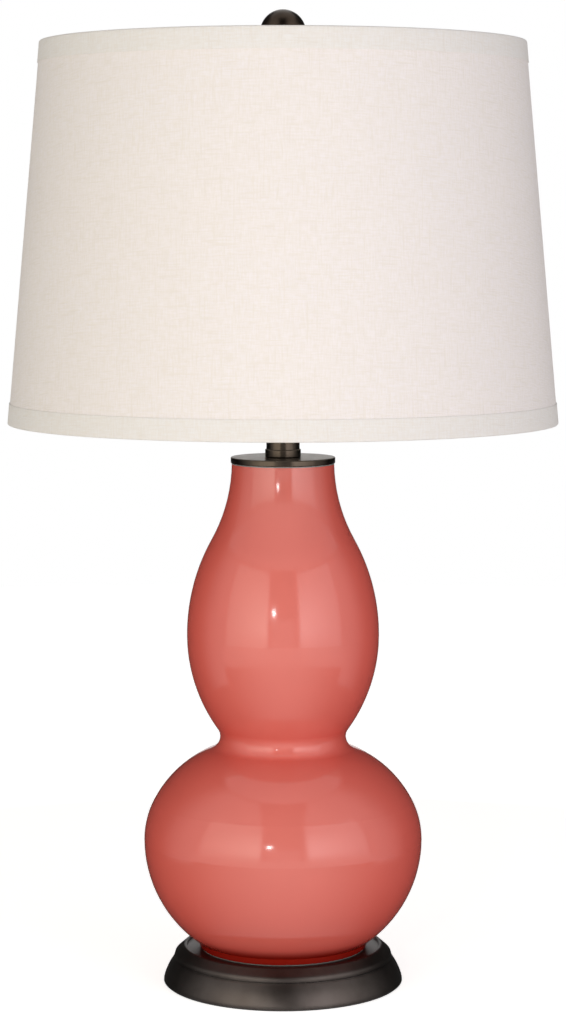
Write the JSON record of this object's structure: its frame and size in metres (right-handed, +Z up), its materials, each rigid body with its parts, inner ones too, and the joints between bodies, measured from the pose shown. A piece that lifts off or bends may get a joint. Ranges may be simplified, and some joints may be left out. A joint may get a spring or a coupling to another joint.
{
  "type": "table lamp",
  "caption": "Double gourd glass table lamp on a stepped round metal foot, with a tapered drum shade on a harp and a ball finial.",
  "frame": {"origin": "centre of the felt's underside, on the table", "axes": "+Z up; -Y the front, where the switch knob points; the harp lies in XZ"},
  "size_m": [0.4063, 0.4064, 0.7236],
  "materials": {
    "felt": "dense black felt",
    "bronze_foot": "dark bronze lacquer, satin",
    "bronze_cap": "brown bronze lacquer, satin",
    "black_plastic": "moulded, matt",
    "cast_weight": "as cast",
    "zinc_steel": "zinc plated",
    "clear_gasket": "soft, translucent grey",
    "red_glass": "blown glass, painted red inside, glossy",
    "harp_brass": "brass plated wire",
    "socket_brass": "stamped brass",
    "liner_board": "pressed board",
    "screw_shell_metal": "drawn, plain",
    "bulb_white": "frosted inside",
    "black_glass": "fused black glass",
    "solder": "solder",
    "shade_wire": "white coated wire",
    "shade_backing": "styrene backing, satin",
    "linen": "linen weave with slubs, off-white",
    "bronze_finial": "dark bronze lacquer, satin"
  },
  "bodies": {
    "lamp_body": {"felt_pad": "felt", "base_shell": "bronze_foot", "cord_bushing": "black_plastic", "base_weight": "cast_weight", "foot_washer": "zinc_steel", "foot_nut": "zinc_steel", "foot_gasket": "clear_gasket", "glass_body": "red_glass", "cap_gasket": "clear_gasket", "vase_cap": "bronze_cap", "neck_collar": "bronze_cap", "neck_tube": "bronze_cap", "lamp_pipe": "zinc_steel", "lock_washer": "zinc_steel", "harp_saddle": "harp_brass", "harp_bow": "harp_brass", "harp_stud": "harp_brass", "socket_cap": "socket_brass", "set_screw": "zinc_steel", "socket_shell": "socket_brass", "socket_liner": "liner_board", "socket_insulator": "black_plastic", "screw_shell": "screw_shell_metal", "centre_contact": "socket_brass", "terminal_screws": "socket_brass"},
    "switch": {"switch_stem": "zinc_steel", "switch_knob": "black_plastic"},
    "bulb": {"bulb_glass": "bulb_white", "bulb_base": "screw_shell_metal", "bulb_insulator": "black_glass", "bulb_contact": "solder"},
    "ferrule_left": {"ferrule_left": "harp_brass"},
    "ferrule_right": {"ferrule_right": "harp_brass"},
    "shade": {"shade_top_ring": "shade_wire", "shade_spider": "shade_wire", "shade_bottom_ring": "shade_wire", "shade_liner": "shade_backing", "shade_fabric": "linen", "top_trim": "linen", "bottom_trim": "linen"},
    "finial": {"finial": "bronze_finial"}
  },
  "joints": [
    {"name": "switch_turn", "type": "hinge", "parent": "lamp_body", "child": "switch", "pos_m": [0, 0, 0.45644], "axis": [0, -1, 0], "continuous": true},
    {"name": "bulb_screw", "type": "hinge", "parent": "lamp_body", "child": "bulb", "pos_m": [0, 0, 0.5], "axis": [0, 0, 1], "continuous": true},
    {"name": "ferrule_left_lift", "type": "slide", "parent": "lamp_body", "child": "ferrule_left", "axis": [0, 0, 1], "range_m": [0, 0.014]},
    {"name": "ferrule_right_lift", "type": "slide", "parent": "lamp_body", "child": "ferrule_right", "axis": [0, 0, 1], "range_m": [0, 0.014]},
    {"name": "shade_turn", "type": "hinge", "parent": "lamp_body", "child": "shade", "pos_m": [0, 0, 0.678], "axis": [0, 0, 1], "continuous": true},
    {"name": "finial_turn", "type": "hinge", "parent": "lamp_body", "child": "finial", "pos_m": [0, 0, 0.69], "axis": [0, 0, 1], "continuous": true}
  ]
}
